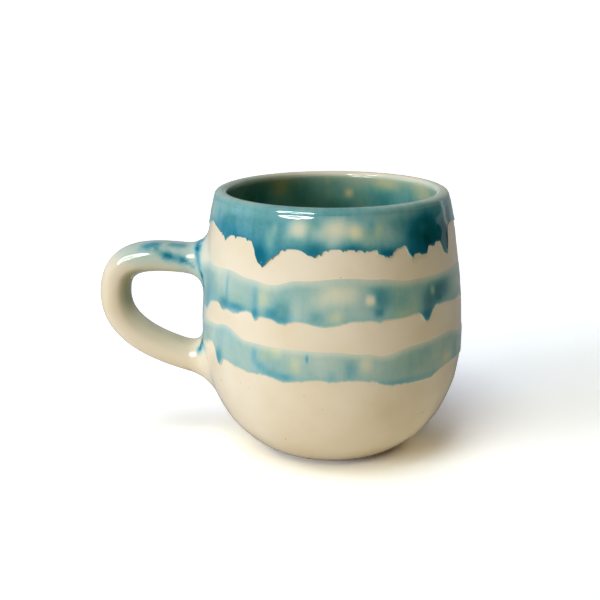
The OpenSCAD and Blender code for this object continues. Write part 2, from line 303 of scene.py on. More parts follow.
MIDDLE_PATCHES = ((-55, 65.5, 6, 3.4, -0.20), (-44, 64.5, 7, 3.6, -0.06), (-50, 63.5, 0.9, 5.4, 0.12),
                  (-52.5, 57.5, 3, 1.9, 0.24), (-44, 57.4, 5, 1.2, 0.22), (-33, 59.5, 1.5, 5.0, 0.14),
                  (-33, 56.6, 2, 1.4, 0.16), (-30, 61.5, 2.4, 4.0, -0.12), (-20.5, 59, 4.2, 3.6, 0.24),
                  (-26, 57.2, 3.4, 1.9, 0.18), (-20, 55.8, 2.6, 1.1, 0.14), (-14.5, 58.5, 2.0, 3.2, -0.06),
                  (3, 64.2, 9, 3.2, -0.34), (-4, 61.5, 4, 2, -0.08), (-6.5, 57.2, 3.4, 2.0, 0.16),
                  (1.6, 57.2, 3.2, 2.2, -0.12), (19.5, 62.6, 5.4, 4.0, 0.30),
                  (15.6, 62.3, 1.9, 1.55, -0.78), (19.2, 58, 2.2, 1.5, 0.30), (30, 62, 6, 5, 0.06),
                  (44, 58.5, 4.6, 4.8, 0.44), (52, 64.4, 9, 3.2, 0.26), (30, 61.5, 9, 5, 0.10),
                  (4, 69, 14, 1.0, 0.16), (-44, 57.3, 12, 1.6, 0.06), (42, 55, 3, 1.6, 0.22),
                  (52, 61.0, 6.4, 3.0, 0.36), (51, 59.2, 2.4, 1.3, 0.22), (46.6, 62.2, 1.6, 1.5, -0.34),
                  (-66, 62, 5, 4, 0.06), (-70, 56, 6, 4, 0.16), (80, 61, 8, 4, -0.14),
                  (101, 58, 4, 4, 0.42), (118, 63, 8, 3, -0.2), (143, 58, 4, 3, 0.3), (160, 63, 9, 3, -0.2),
                  (187, 58, 4.4, 4, 0.4), (206, 63, 7, 3, -0.16), (229, 58, 4, 3, 0.32),
                  (252, 62, 6, 4, 0.1))
LOWER_RUN, LOWER_FADE = 0.48, 3.4
LOWER_PATCHES = ((-48, 46.5, 8, 3.4, -0.02), (-55, 38.8, 2.6, 2.8, 0.22), (-55, 44, 3, 4, 0.04),
                 (-33, 43.2, 1.4, 2.6, 0.14), (-30.5, 40, 2.2, 1.8, 0.14), (-26, 38.3, 3, 1.6, 0.16),
                 (-19.5, 37.5, 3.6, 1.2, 0.18), (-22.5, 44.6, 2.6, 1.6, -0.08),
                 (-15, 41.8, 2.2, 2.6, -0.08), (-5, 42.5, 4.4, 4, -0.12), (0, 38.6, 2.0, 1.6, 0.08),
                 (7.4, 40.6, 3.0, 3.6, 0.18), (13.6, 41.8, 3.0, 2.6, -0.14), (-9.9, 44.2, 0.55, 1.3, 0.3),
                 (20, 41.5, 3, 3, -0.02), (37, 40.5, 11, 5.4, 0.12), (-23, 41, 6, 4, 0.10),
                 (14, 43, 3.6, 3.4, -0.10), (-56, 38.6, 3, 3, 0.1), (28, 34.8, 9, 1.0, 0.12),
                 (44, 34.8, 7, 1.0, 0.08), (57, 38, 4, 2.2, -0.14), (65, 39, 3, 4, 0.1),
                 (84, 39, 4, 4, 0.3), (110, 42, 8, 4, -0.1), (133, 39, 4, 4, 0.3), (158, 42, 9, 3, -0.12),
                 (192, 39, 4, 4, 0.3), (218, 42, 8, 3, -0.1), (243, 39, 4, 4, 0.26))

# Olive warmth in the runs, and violet-blue tint
WARM_PATCHES = ((32, 61.5, 8, 6, 0.5), (50, 64, 8, 4, 0.4), (-27, 80, 3, 3.4, 0.5),
                (-14, 83.5, 4.6, 2.4, 0.35), (-9, 84.8, 1.6, 0.9, 0.5), (10, 83, 3.4, 2.6, 0.8),
                (0, 84, 5, 2.6, 0.25), (20.5, 83.6, 2.6, 2.6, 0.8), (15, 81, 3, 2.6, 0.5),
                (44, 81, 4, 3, 0.3), (62, 83, 8, 4, 0.3), (-29, 61.5, 3, 4, 0.7), (-44, 60.5, 5, 2.6, 0.4),
                (1.6, 57.2, 3.2, 2, 0.9), (0, 64.6, 10, 3.2, 0.35), (17.2, 61.2, 1.4, 1.4, 0.9),
                (46.5, 61.6, 2.6, 2.4, 1.1), (31, 57, 6, 1.6, 0.6), (-23, 45, 3, 2, 0.7),
                (-15, 41.5, 2.4, 3, 0.8), (-28, 44, 2, 2.4, 0.6), (57, 38.4, 4, 2, 0.8),
                (13.4, 42, 3, 3, 0.3), (112, 83, 7, 3, 0.5), (192, 83, 7, 3, 0.5), (118, 62, 8, 3, 0.5),
                (206, 62, 7, 3, 0.5), (110, 42, 8, 4, 0.4), (218, 42, 8, 4, 0.4))
BLUE_PATCHES = ((-48, 80.5, 12, 2.0, 0.8), (-62, 82, 6, 1.6, 0.7), (-62, 86, 3, 1.6, 0.6),
                (-31, 77, 3.6, 5, 0.5), (-25, 78, 2.4, 4, 0.5), (24.3, 76.4, 2.8, 1.8, 0.5),
                (41, 76, 7, 3, 0.6), (37, 83, 3, 4, 0.4), (-20, 85, 3, 2, 0.4), (12, 86, 2.4, 1.6, 0.5),
                (17, 85.4, 2, 1.4, 0.6), (-44, 57.2, 5.4, 1.5, 1.0), (-33, 57.2, 2.4, 2.0, 0.9),
                (-50, 62, 1.4, 6, 0.6), (-33, 62, 1.6, 4, 0.6), (-26, 57.4, 3.2, 2.2, 0.9),
                (-18, 56.2, 4, 1.6, 0.6), (-66, 57, 6, 7, 0.6), (19, 60, 4, 4.4, 0.4),
                (42, 55.4, 4, 2.4, 0.6), (-50, 47, 10, 4, 0.4), (-55, 38.6, 3, 3, 0.5),
                (-33, 42.6, 1.8, 3.4, 0.9), (-29.5, 40, 2.6, 1.6, 0.9), (-22, 37.4, 8, 1.5, 0.8),
                (-9.9, 44.2, 0.7, 1.5, 1.6), (8, 39.8, 3, 3, 0.5), (0, 38.4, 2.4, 1.8, 0.5),
                (33, 35, 15, 1.6, 0.6), (65, 39, 3.4, 4, 0.6), (20, 41, 4, 4, 0.2))


def rim_low(turn):
    return level(turn, RIM_EDGE) - hanging(turn, RIM_DRIPS) - toothed(turn, 3, 240, 1.0)


def middle_low(turn):
    return level(turn, MIDDLE_EDGE) - hanging(turn, MIDDLE_DRIPS) - toothed(turn, 5, 160, 0.4)


def lower_low(turn):
    return level(turn, LOWER_EDGE) - hanging(turn, LOWER_DRIPS) - toothed(turn, 7, 200, 0.45)


def tints(turn, z):
    """Olive warmth and violet-blue at a place on the wall."""
    return patched(turn, z, WARM_PATCHES), patched(turn, z, BLUE_PATCHES)


def band_run(turn, z, base, patches, top, fade):
    """Thickness of a band's run, fading out below its top."""
    high = level(turn, top)
    cover = 1 - smooth(high - fade, high + 0.6, z)
    return np.maximum(base + patched(turn, z, patches), 0.05) * cover


def rim_run(turn, z):
    return RIM_RUN + patched(turn, z, RIM_PATCHES)


def middle_run(turn, z):
    return band_run(turn, z, MIDDLE_RUN, MIDDLE_PATCHES, MIDDLE_TOP, MIDDLE_FADE)


def lower_run(turn, z):
    return band_run(turn, z, LOWER_RUN, LOWER_PATCHES, LOWER_TOP, LOWER_FADE)


def band_colour(turn, z):
    """Run, warm and blue of the three bands at a place on the wall."""
    amounts = [run(turn, z) * smooth(-0.3, 0.5, z - low(turn))
               for run, low in ((rim_run, rim_low), (middle_run, middle_low), (lower_run, lower_low))]
    return (np.maximum.reduce(amounts), *tints(turn, z))


# ---- Making pieces --------------------------------------------------------------------

def add_object(name, mesh):
    piece = bpy.data.objects.new(name, mesh)
    bpy.context.scene.collection.objects.link(piece)
    return piece


def make_piece(name, points, faces, material):
    """Smooth piece from points in millimetres."""
    mesh = bpy.data.meshes.new(name)
    mesh.from_pydata((points * MM).tolist(), [], faces.tolist() if hasattr(faces, "tolist") else faces)
    mesh.validate()
    mesh.shade_smooth()
    mesh.materials.append(material)
    return add_object(name, mesh)


def paint(piece, **values):
    """Stores numbers on a piece's points for its material to read."""
    for name, numbers in values.items():
        layer = piece.data.attributes.new(name, "FLOAT", "POINT")
        layer.data.foreach_set("value", np.asarray(numbers, np.float32))


BLUEST = 1.3                               # the most that the blue tint may be mixed in


def glaze_values(run, warm, blue):
    """What a glaze material reads at each point."""
    return dict(run=run, warm=np.clip(warm, 0, 1), blue=np.clip(blue, 0, BLUEST),
                lively=smooth(0.02, 0.3, run))


def points_of(mesh):
    flat = np.empty(len(mesh.vertices) * 3)
    mesh.vertices.foreach_get("co", flat)
    return flat.reshape(-1, 3) / MM


def grid_faces(rows, columns, wrap_rows, wrap_columns):
    """Quads over a grid of points stored row by row."""
    i, j = np.meshgrid(np.arange(rows if wrap_rows else rows - 1),
                       np.arange(columns if wrap_columns else columns - 1), indexing="ij")
    k, m = (i + 1) % rows, (j + 1) % columns
    quads = np.stack([i * columns + j, i * columns + m, k * columns + m, k * columns + j], -1)
    return quads.reshape(-1, 4)


def remeshed(piece, voxel):
    """The piece's mesh made again of even quads."""
    change = piece.modifiers.new("even", "REMESH")
    change.mode = "VOXEL"
    change.voxel_size = voxel * MM
    graph = bpy.context.evaluated_depsgraph_get()
    mesh = bpy.data.meshes.new_from_object(piece.evaluated_get(graph))
    bpy.data.objects.remove(piece)
    return mesh


# ---- Node materials --------------------------------------------------------------------

def add(tree, kind, values=(), **settings):
    """Adds a node. values gives its inputs by name or number: a number, a colour or another node's output."""
    node = tree.nodes.new(kind)
    for key, value in settings.items():
        setattr(node, key, value)
    for key, value in dict(values).items():
        if isinstance(value, bpy.types.NodeSocket):
            tree.links.new(value, node.inputs[key])
        else:
            node.inputs[key].default_value = value
    return node


def math_node(tree, operation, a, b=0.0):
    return add(tree, "ShaderNodeMath", {0: a, 1: b}, operation=operation).outputs[0]


def noise_node(tree, vector, scale, detail=3.0, roughness=0.5):
    return add(tree, "ShaderNodeTexNoise", {"Vector": vector, "Scale": scale, "Detail": detail,
                                            "Roughness": roughness}).outputs["Fac"]


def ramp_node(tree, factor, stops):
    node = add(tree, "ShaderNodeValToRGB", {"Fac": factor})
    ramp = node.color_ramp
    while len(ramp.elements) < len(stops):
        ramp.elements.new(0.5)
    for element, (place, colour) in zip(ramp.elements, stops):
        element.position = place
        element.color = (*colour, 1)
    return node.outputs["Color"]


def mix_colour(tree, factor, a, b, blend="MIX"):
    node = add(tree, "ShaderNodeMix", {"Factor": factor}, data_type="RGBA", blend_type=blend)
    for socket, value in zip([s for s in node.inputs if s.type == "RGBA"], (a, b)):
        if isinstance(value, bpy.types.NodeSocket):
            tree.links.new(value, socket)
        else:
            socket.default_value = (*value, 1)
    return [s for s in node.outputs if s.type == "RGBA"][0]


def fade_node(tree, value, low, high):
    return add(tree, "ShaderNodeMapRange", {"Value": value, "From Min": low, "From Max": high},
               interpolation_type="SMOOTHSTEP").outputs["Result"]


def attribute_node(tree, name):
    return add(tree, "ShaderNodeAttribute", attribute_name=name).outputs["Fac"]


def new_material(name, preview):
    material = bpy.data.materials.new(name)
    material.use_nodes = True
    material.diffuse_color = (*preview, 1)
    shader = next(n for n in material.node_tree.nodes if n.type == "BSDF_PRINCIPLED")
    return material, material.node_tree, shader


def running_coordinates(tree, place, stretch):
    """Coordinates round the mug and up it, so that a noise on them is drawn out downwards."""
    parts = add(tree, "ShaderNodeSeparateXYZ", {0: place}).outputs
    flat = add(tree, "ShaderNodeCombineXYZ", {0: parts[0], 1: parts[1]}).outputs[0]
    round_it = add(tree, "ShaderNodeVectorMath", {0: flat}, operation="NORMALIZE").outputs[0]
    up = add(tree, "ShaderNodeCombineXYZ", {2: math_node(tree, "MULTIPLY", parts[2], stretch)}).outputs[0]
    return add(tree, "ShaderNodeVectorMath", {0: round_it, 1: up}, operation="ADD").outputs[0]


# Colours of the glazes, as the share of red, green and blue that they give back
CREAM_DARK, CREAM, CREAM_PALE = (0.76, 0.65, 0.465), (0.79, 0.69, 0.52), (0.815, 0.725, 0.57)
RUN_STOPS = ((0.0, (0.66, 0.68, 0.55)), (0.18, (0.56, 0.62, 0.51)), (0.34, (0.40, 0.535, 0.47)),
             (0.46, (0.265, 0.45, 0.42)), (0.58, (0.14, 0.35, 0.355)), (0.70, (0.055, 0.245, 0.275)),
             (0.82, (0.010, 0.155, 0.205)), (1.0, (0.001, 0.062, 0.072)))
LINER_STOPS = ((0.0, (0.60, 0.62, 0.44)), (0.2, (0.44, 0.51, 0.35)), (0.4, (0.22, 0.42, 0.33)),
               (0.6, (0.08, 0.30, 0.25)), (0.8, (0.024, 0.17, 0.165)), (1.0, (0.008, 0.06, 0.06)))
BLUE_TINT, WARM_TINT = (0.70, 0.94, 1.14), (1.30, 1.10, 0.84)
OLIVE_GLAZE_AND_SHADE = (0.36, 0.33, 0.17)                 # dark olive for glaze lying thick inside the handle's loop, partly painted shade on faces that turn into the loop or downwards
RUN_SCALE = 0.8                            # a run of 1 sits at this place on the ramp


PIT_DEPTH = 0.5                            # depth of the pinholes beside the ripple of the skin
STREAKS, FINE_STREAKS, DRIFTS, GRAIN = 0.16, 0.07, 0.26, 0.05   # how far each pattern moves a run


def glaze_material(name, stops, roughness=(0.04, 0.09)):
    """Glossy cream glaze, with coloured runs where the piece's run attribute is over zero."""
    material, tree, shader = new_material(name, CREAM)
    place = add(tree, "ShaderNodeTexCoord").outputs["Object"]
    cloud = noise_node(tree, place, 55, 3, 0.55)
    cream = ramp_node(tree, cloud, ((0.30, CREAM_DARK), (0.5, CREAM), (0.72, CREAM_PALE)))
    speck = fade_node(tree, noise_node(tree, place, 620, 2, 0.6), 0.73, 0.79)
    cream = mix_colour(tree, math_node(tree, "MULTIPLY", speck, 0.4), cream, (0.42, 0.33, 0.22))
    # Inside the handle's loop the cream goes dark olive: partly thick glaze, partly painted shade
    cream = mix_colour(tree, attribute_node(tree, "thick_glaze_and_shade"), cream, OLIVE_GLAZE_AND_SHADE)

    run = attribute_node(tree, "run")
    cover = fade_node(tree, run, 0.0, 0.16)
    streak = noise_node(tree, running_coordinates(tree, place, 9.0), 16, 3, 0.55)
    fine = noise_node(tree, running_coordinates(tree, place, 22.0), 60, 3, 0.6)
    drift = noise_node(tree, place, 95, 3, 0.5)
    grain = noise_node(tree, place, 900, 2, 0.6)
    uneven = 0.0
    for pattern, share in ((streak, STREAKS), (fine, FINE_STREAKS), (drift, DRIFTS), (grain, GRAIN)):
        part = math_node(tree, "MULTIPLY", math_node(tree, "SUBTRACT", pattern, 0.5), share)
        uneven = math_node(tree, "ADD", uneven, part)
    depth = math_node(tree, "ADD", run, math_node(tree, "MULTIPLY", uneven, attribute_node(tree, "lively")))
    colour = ramp_node(tree, math_node(tree, "MULTIPLY", depth, RUN_SCALE), stops)
    colour = mix_colour(tree, attribute_node(tree, "blue"), colour,
                        mix_colour(tree, 1.0, colour, BLUE_TINT, "MULTIPLY"))
    colour = mix_colour(tree, attribute_node(tree, "warm"), colour,
                        mix_colour(tree, 1.0, colour, WARM_TINT, "MULTIPLY"))
    colour = mix_colour(tree, cover, cream, colour)
    tree.links.new(colour, shader.inputs["Base Color"])

    gloss = add(tree, "ShaderNodeMapRange",
                {"Value": drift, "From Min": 0.3, "From Max": 0.7,
                 "To Min": roughness[0], "To Max": roughness[1]}).outputs["Result"]
    tree.links.new(gloss, shader.inputs["Roughness"])
    skin = noise_node(tree, place, 210, 3, 0.5)
    pit = fade_node(tree, noise_node(tree, place, 900, 1, 0.5), 0.76, 0.82)
    height = math_node(tree, "SUBTRACT", skin, math_node(tree, "MULTIPLY", pit, PIT_DEPTH))
    bump = add(tree, "ShaderNodeBump", {"Strength": 0.22, "Distance": 0.0001, "Height": height})
    tree.links.new(bump.outputs[0], shader.inputs["Normal"])
    shader.inputs["IOR"].default_value = 1.52
    return material


def clay_material():
    """Bare fired stoneware with grog, and the rings that trimming leaves."""
    material, tree, shader = new_material("bare_stoneware", (0.5, 0.4, 0.28))
    place = add(tree, "ShaderNodeTexCoord").outputs["Object"]
    body = ramp_node(tree, noise_node(tree, place, 90, 4, 0.6),
                     ((0.3, (0.40, 0.31, 0.20)), (0.5, (0.50, 0.41, 0.28)), (0.7, (0.57, 0.48, 0.35))))
    grog = fade_node(tree, noise_node(tree, place, 1100, 2, 0.6), 0.66, 0.74)
    body = mix_colour(tree, math_node(tree, "MULTIPLY", grog, 0.6), body, (0.22, 0.16, 0.10))
    tree.links.new(body, shader.inputs["Base Color"])
    rings = add(tree, "ShaderNodeTexWave", {"Vector": place, "Scale": 190, "Distortion": 1.5, "Detail": 2},
                wave_type="RINGS", rings_direction="Z").outputs["Fac"]
    grain = noise_node(tree, place, 1500, 3, 0.6)
    bump = add(tree, "ShaderNodeBump", {"Strength": 0.5, "Distance": 0.00015,
                                        "Height": math_node(tree, "ADD", rings, grain)})
    tree.links.new(bump.outputs[0], shader.inputs["Normal"])
    rough = add(tree, "ShaderNodeMapRange", {"Value": grain, "To Min": 0.7, "To Max": 0.95}).outputs["Result"]
    tree.links.new(rough, shader.inputs["Roughness"])
    return material


def speck_material():
    """Iron that has burnt through the glaze."""
    material, tree, shader = new_material("iron_speck", (0.2, 0.12, 0.06))
    place = add(tree, "ShaderNodeTexCoord").outputs["Object"]
    rust = ramp_node(tree, noise_node(tree, place, 400, 2),
                     ((0.3, (0.16, 0.09, 0.045)), (0.7, (0.36, 0.25, 0.15))))
    tree.links.new(rust, shader.inputs["Base Color"])
    rough = add(tree, "ShaderNodeMapRange", {"Value": noise_node(tree, place, 2000, 2), "To Min": 0.25,
                                             "To Max": 0.5}).outputs["Result"]
    tree.links.new(rough, shader.inputs["Roughness"])
    bump = add(tree, "ShaderNodeBump", {"Strength": 0.3, "Distance": 0.00005, "Height": rust})
    tree.links.new(bump.outputs[0], shader.inputs["Normal"])
    return material


coat_glaze = glaze_material("cream_glaze", RUN_STOPS)
rim_finish = glaze_material("rim_teal_glaze", RUN_STOPS, roughness=(0.025, 0.06))
band_finish = glaze_material("celadon_glaze", RUN_STOPS)
liner_finish = glaze_material("teal_liner_glaze", LINER_STOPS, roughness=(0.06, 0.12))
bare_clay = clay_material()
iron = speck_material()


# ---- Cream coat over the wall and the handle -----------------------------------------

COAT_TOP = LIP_Z - 0.8
COAT_VOXEL = 0.9

# Brush marks on the handle: start and end in mm, half width, thickness of run, blue, warm
STROKES = (((-63, -4, 70.3), (-60, -3, 70.8), 2.1, 0.50, 0.8, 0.0),
           ((-54, -3, 70.8), (-50.5, -3, 70.2), 1.7, 0.44, 0.5, 0.0),
           ((-59.5, -5, 69.2), (-55, -6, 67.8), 1.3, 0.40, 0.2, 0.6),
           ((-56, -6, 67.6), (-50.5, -6.5, 66.4), 1.6, 0.56, 1.0, 0.0),
           ((-50.5, -6.5, 66.4), (-46.8, -6.6, 64.6), 1.0, 0.48, 0.9, 0.0),
           ((-67.8, -3, 60.4), (-64.4, -3, 62.0), 1.2, 0.50, 0.3, 0.2),
           ((-62, 4, 70), (-55, 5, 69.4), 2.2, 0.40, 0.5, 0.2),
           ((-53, 6, 67), (-48, 6.4, 65.4), 1.7, 0.46, 0.5, 0.0))
# Pools that stand in the crease round the joints: as above, then how far they rise
POOLS = (((-45.8, -2.0, 72.4), (-45.0, -4.6, 70.0), 1.5, 0.80, 1.2, 0.0, 0.25),
         ((-45.0, -5.5, 69.4), (-43.6, -9.0, 62.0), 1.1, 0.60, 0.7, 0.0, 0.2),
         ((-43.6, -9.2, 61.4), (-43.4, -9.8, 58.2), 1.2, 0.80, 0.3, 0.0, 0.3),
         ((-43.6, -8.5, 57.0), (-43.8, -8.5, 38.0), 2.0, 0.60, 0.9, 0.0, 0.1),
         ((-45.4, -7.0, 38.0), (-46.6, -7.6, 35.4), 1.25, 0.90, 1.2, 0.0, 0.45),
         ((-41.6, -3.5, 80.0), (-44.4, -2.5, 73.5), 1.3, 0.75, 1.0, 0.0, 0.05),
         ((-45.8, 2.0, 72.4), (-43.6, 9.0, 62.0), 1.2, 0.60, 0.9, 0.0, 0.2),
         ((-43.6, 9.6, 60.0), (-43.8, 9.4, 38.0), 1.5, 0.55, 0.8, 0.0, 0.15))
# Pale wash on the handle: centre in mm, half size along each axis, thickness
WASHES = (((-58, -1, 70), (15, 14, 5.6), 0.34), ((-48, -7, 60), (6, 8, 9), 0.18),
          ((-44, 0, 50), (2.6, 14, 14), 0.36), ((-46, 0, 73), (4, 12, 3), 0.24))
WASH_BLUE = 0.25
# Degrees from the handle up to which the coat carries the bands' colour in full, and where it ends
COAT_BANDS_FULL, COAT_BANDS_END = 22, 27


def stroke_distance(p, start, end):
    """Distance from a line drawn on the skin between two places."""
    share = np.linspace(0, 1, 13)[:, None]
    line = onto_skin(np.array(start) * (1 - share) + np.array(end) * share, rounds=6)[0]
    nearest = np.full(len(p), 1e9)
    for a, b in zip(line[:-1], line[1:]):
        t = np.clip(((p - a) @ (b - a)) / ((b - a) @ (b - a) + 1e-9), 0, 1)
        nearest = np.minimum(nearest, np.linalg.norm(p - a - t[:, None] * (b - a), axis=1))
    return nearest


def coat_marks(p):
    """Run, warm and blue on the coat: the handle's brush marks and the wash round its joints."""
    run, warm, blue = np.zeros(len(p)), np.zeros(len(p)), np.zeros(len(p))
    wobble = 1 + 0.25 * np.sin(p[:, 0] * 1.9 + p[:, 2] * 2.3) * np.sin(p[:, 1] * 1.7 + 1)
    for centre, half, amount in WASHES:
        near = np.exp(-(np.abs((p - centre) / half) ** 2.6).sum(1))
        run = np.maximum(run, amount * near)
        blue += WASH_BLUE * near
    for start, end, half, amount, tint, warmth in STROKES + tuple(pool[:6] for pool in POOLS):
        near = np.exp(-np.abs(stroke_distance(p, start, end) / (half * wobble)) ** 2.4)
        run = run + amount * near * (1 - 0.5 * np.minimum(run, 1))
        blue += tint * near
        warm += warmth * near
    return run, warm, blue


def pool_rise(p):
    """How far in mm the pools in the joints stand above the coat."""
    rise = np.zeros(len(p))
    for start, end, half, _, _, _, height in POOLS:
        rise = np.maximum(rise, height * np.exp(-(stroke_distance(p, start, end) / half) ** 2))
    return rise


def near_handle(p):
    """1 on the wall by the joints, where the coat carries the bands' colour, and 0 away from them."""
    side = 1 - smooth(COAT_BANDS_FULL, COAT_BANDS_END, np.abs(turned(direction(p), HANDLE_TURN)))
    return side * (p[:, 0] < 0)


def olive_glaze_and_shade(p, normals, strap):
    """How far the cream goes dark olive inside the handle's loop: thick glaze there, and painted shade on
    faces that turn into the loop or face downwards.
    """
    # Painted shade: strongest where the normals point into the loop or downwards on the strap
    faces_loop = 0.75 * normals[:, 0] * smooth(-50, -56, p[:, 0]) - 0.5 * normals[:, 2] * strap
    return 0.9 * smooth(0.25, 0.85, faces_loop + 0.1) * strap * smooth(-44, -52, p[:, 0])


def rough_solid():
    """Plain closed shapes of the wall and the strap, to be made even and moved onto the skin."""
    around = np.linspace(0, 2 * math.pi, 97)[:-1]
    spare = 4                              # the wall is made taller, and trimmed later
    heights = np.linspace(-spare, HEIGHT + spare, 60)
    radii = np.where(heights > LIP_Z, MOUTH_R + LIP_R, outer_radius(heights))
    rings = np.stack([np.outer(radii, np.sin(around)), np.outer(radii, -np.cos(around)),
                      np.repeat(heights[:, None], len(around), 1)], -1).reshape(-1, 3)
    wall = grid_faces(len(heights), len(around), False, True).tolist()
    wall += [list(range(len(around)))[::-1], [len(rings) - 1 - i for i in range(len(around))]]
    sides = np.linspace(0, 2 * math.pi, 33)[:-1]
    tube = []
    for i in range(0, len(strap_path), 2):
        c, n = strap_path[i], strap_out[i]
        w, t = STRAP_HALF_W * np.cos(sides), STRAP_HALF_T * np.sin(sides)
        tube.append(np.stack([c[0] + t * n[0], w, c[1] + t * n[1]], -1))
    strap = grid_faces(len(tube), len(sides), False, True).tolist()
    strap += [list(range(len(sides)))[::-1], [len(tube) * len(sides) - 1 - i for i in range(len(sides))]]
    return np.vstack([rings, np.vstack(tube)]), wall + [[v + len(rings) for v in f] for f in strap]


def trimmed(mesh, low, high):
    """Cuts the mesh open below one height and above another, in mm."""
    bm = bmesh.new()
    bm.from_mesh(mesh)
    for height, up in ((low, -1), (high, 1)):
        bmesh.ops.bisect_plane(bm, geom=bm.verts[:] + bm.edges[:] + bm.faces[:], dist=1e-6,
                               plane_co=(0, 0, height * MM), plane_no=(0, 0, up), clear_outer=True)
    bmesh.ops.remove_doubles(bm, verts=bm.verts, dist=2e-6)
    bmesh.ops.recalc_face_normals(bm, faces=bm.faces)
    bm.to_mesh(mesh)
    bm.free()


def build_coat():
    """One closed skin of cream glaze over wall and handle. Returns its outer points and faces."""
    points, faces = rough_solid()
    mesh = remeshed(make_piece("rough", points, faces, coat_glaze), COAT_VOXEL)
    on_skin, _ = onto_skin(points_of(mesh), rounds=5, cap=1.5)
    mesh.vertices.foreach_set("co", (on_skin * MM).ravel())
    trimmed(mesh, BARE_FOOT, COAT_TOP)
    outer = points_of(mesh)
    _, normals = onto_skin(outer, rounds=1, cap=0.0)
    faces = [list(f.vertices) for f in mesh.polygons]
    count = len(outer)
    edges = dict.fromkeys((a, b) for f in faces for a, b in zip(f, f[1:] + f[:1]))
    border = [(a, b) for a, b in edges if (b, a) not in edges]
    shell = faces + [[v + count for v in f[::-1]] for f in faces]
    shell += [[b, a, a + count, b + count] for a, b in border]
    everything = np.vstack([outer + pool_rise(outer)[:, None] * normals, outer - COAT * normals])
    coat = make_piece("cream_coat_glaze", everything, shell, coat_glaze)
    run, warm, blue = coat_marks(outer)
    strap = smooth(0.5, 4.0, wall_distance(outer))
    mine = near_handle(outer) * (1 - strap)
    bands = band_colour(direction(outer), outer[:, 2])
    values = glaze_values(np.maximum(run, bands[0] * mine), warm + bands[1] * mine, blue + bands[2] * mine)
    # Dark olive inside the handle's loop: thick glaze and painted shade
    values["thick_glaze_and_shade"] = olive_glaze_and_shade(outer, normals, strap)
    paint(coat, **{name: np.tile(numbers, 2) for name, numbers in values.items()})
    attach(coat, "root")
    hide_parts("cream_coat", "handle_coat")
    bpy.data.meshes.remove(mesh)
    return outer, faces


# ---- Bands of running glaze ---------------------------------------------------------------

BAND_COLUMNS = 1260
BAND_TURN = np.linspace(-math.pi, math.pi, BAND_COLUMNS + 1)[:-1]
EDGE_ROWS = (0.0, 0.05, 0.12, 0.22, 0.36, 0.55, 0.8, 1.1, 1.5, 2.0)
SUNK = 0.2                                 # how far a band's underside sits in the coat
TUCK = 0.08                                # how far its edges dip into the coat
JOINT_TUCK = 0.1                           # how far a band dips under the coat by the handle
BAND_STOPS, BAND_STARTS = 17, 24           # degrees from the handle where it dips, and stands in full
EDGE_REACH = 3.2                           # how far round the mug an edge is looked for
BAND_OVERRUN = 0.8                         # how far a band's thin top goes on past the height of its top
BEAD_WIDTH = 0.9
EDGE_DARKER, EDGE_BLUE = 0.14, 0.8         # what the bead at an edge adds to the run and the blue
LONG_DRIP, DROP_HEIGHT = 4, 2.2            # depth from which a drip's drop is full, and the drop's height


def rows_above(edge, top, rows):
    """Heights row by row from an edge to a top: close together at first, then even."""
    close = np.array(EDGE_ROWS)[:, None] + edge
    share = np.linspace(0, 1, rows)[1:, None]
    return np.vstack([close, close[-1] + (top - close[-1]) * share])


def edge_rounding(gap, width):
    """0 at an edge, rising as a quarter round to 1 at a width from it."""
    return np.sqrt(np.clip(1 - (1 - np.minimum(gap / width, 1)) ** 2, 0, 1))


def edge_distance(turn, low, z):
    """Distance in mm from each point (row, column) above the band's lower edge to that edge."""
    arc = BELLY_R * (turn[1] - turn[0])
    reach = int(EDGE_REACH / arc)
    best = np.full_like(z, 1e9)
    for shift in range(-reach, reach + 1):
        best = np.minimum(best, np.hypot(shift * arc, z - np.roll(low, shift)))
    return best


def wall_point(turn, z, out):
    r = outer_radius(z) + swell(turn, z) + out
    return np.stack([r * np.sin(turn), -r * np.cos(turn), z], -1)


def closed_sheet(name, over, under, material):
    """Closed round sheet from its outer and inner rows of points, each stored row by row."""
    (rows, columns), lower_rows = over.shape[:2], under.shape[0]
    count = rows * columns
    strip = grid_faces(2, columns, False, True)
    second = strip >= columns
    start = np.where(second, strip - columns, strip + count)
    end = np.where(second, strip - columns + count + (lower_rows - 1) * columns, strip + count - columns)
    shell = np.vstack([grid_faces(rows, columns, False, True),
                       grid_faces(lower_rows, columns, False, True)[:, ::-1] + count, start, end])
    return make_piece(name, np.vstack([over.reshape(-1, 3), under.reshape(-1, 3)]), shell, material)


def under_rows(rows, step=7):
    """Every few rows and the last, for a sheet's hidden side."""
    return sorted(set(range(0, rows, step)) | {rows - 1})


def paint_sheet(piece, kept, **values):
    """Paints a closed sheet's outer rows, and its inner rows as the outer ones above them."""
    paint(piece, **{name: np.concatenate([v.ravel(), v[kept].ravel()]) for name, v in values.items()})


